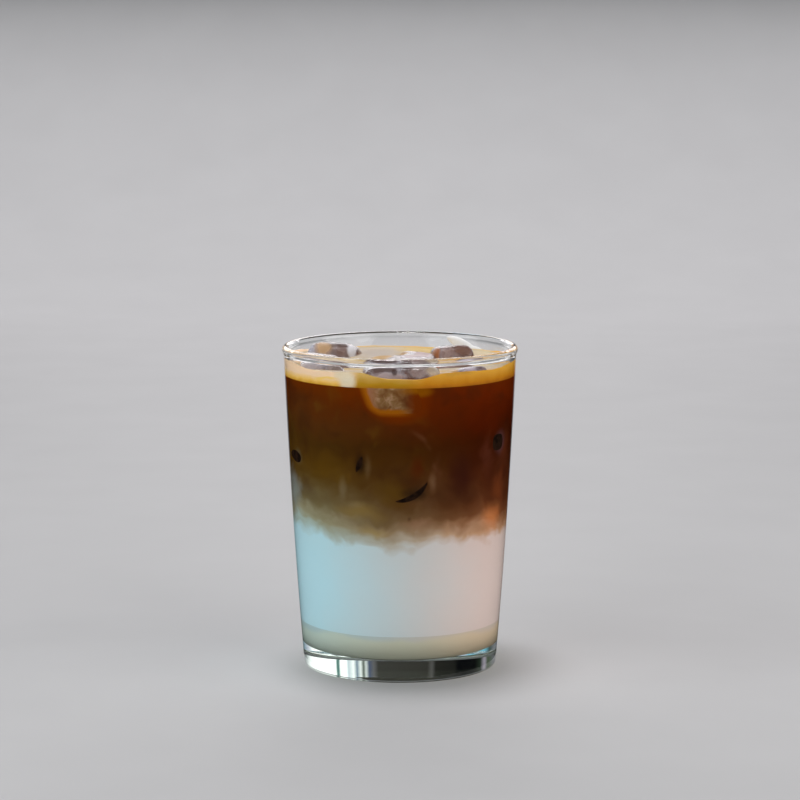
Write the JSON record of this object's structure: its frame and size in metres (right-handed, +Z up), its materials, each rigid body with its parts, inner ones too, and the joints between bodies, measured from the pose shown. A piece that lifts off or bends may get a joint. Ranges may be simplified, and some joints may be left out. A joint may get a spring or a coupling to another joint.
{
  "type": "iced layered latte in a glass tumbler",
  "caption": "Iced layered latte in a clear tumbler with a thick base: condensed milk, milk, coffee and crema in bands, with ice at the top.",
  "frame": {"origin": "on the tumbler's axis, at the level of the foot it stands on", "axes": "+Z up along the tumbler's axis; -Y is the side that the picture shows"},
  "size_m": [0.082, 0.082, 0.1123],
  "materials": {
    "clear_glass": "clear pressed glass with a faint green cast at its edges, fire-polished rim",
    "condensed_milk": "thick cream-coloured condensed milk, opaque",
    "milk": "cold white milk, opaque, softly translucent at its edges",
    "coffee": "dark brown espresso, murky, clouding into the milk below in soft lobes",
    "crema": "golden tan foam, fine bubbled, with paler milky streaks",
    "ice": "clear melting ice with cracks and small bubbles, tinted by the coffee"
  },
  "bodies": {
    "root": {"glass": "clear_glass", "condensed_milk": "condensed_milk", "milk": "milk", "coffee": "coffee", "crema": "crema", "ice_front": "ice", "ice_left_back": "ice", "ice_left_front": "ice", "ice_right_back": "ice", "ice_right_front": "ice", "ice_middle": "ice"}
  },
  "joints": []
}
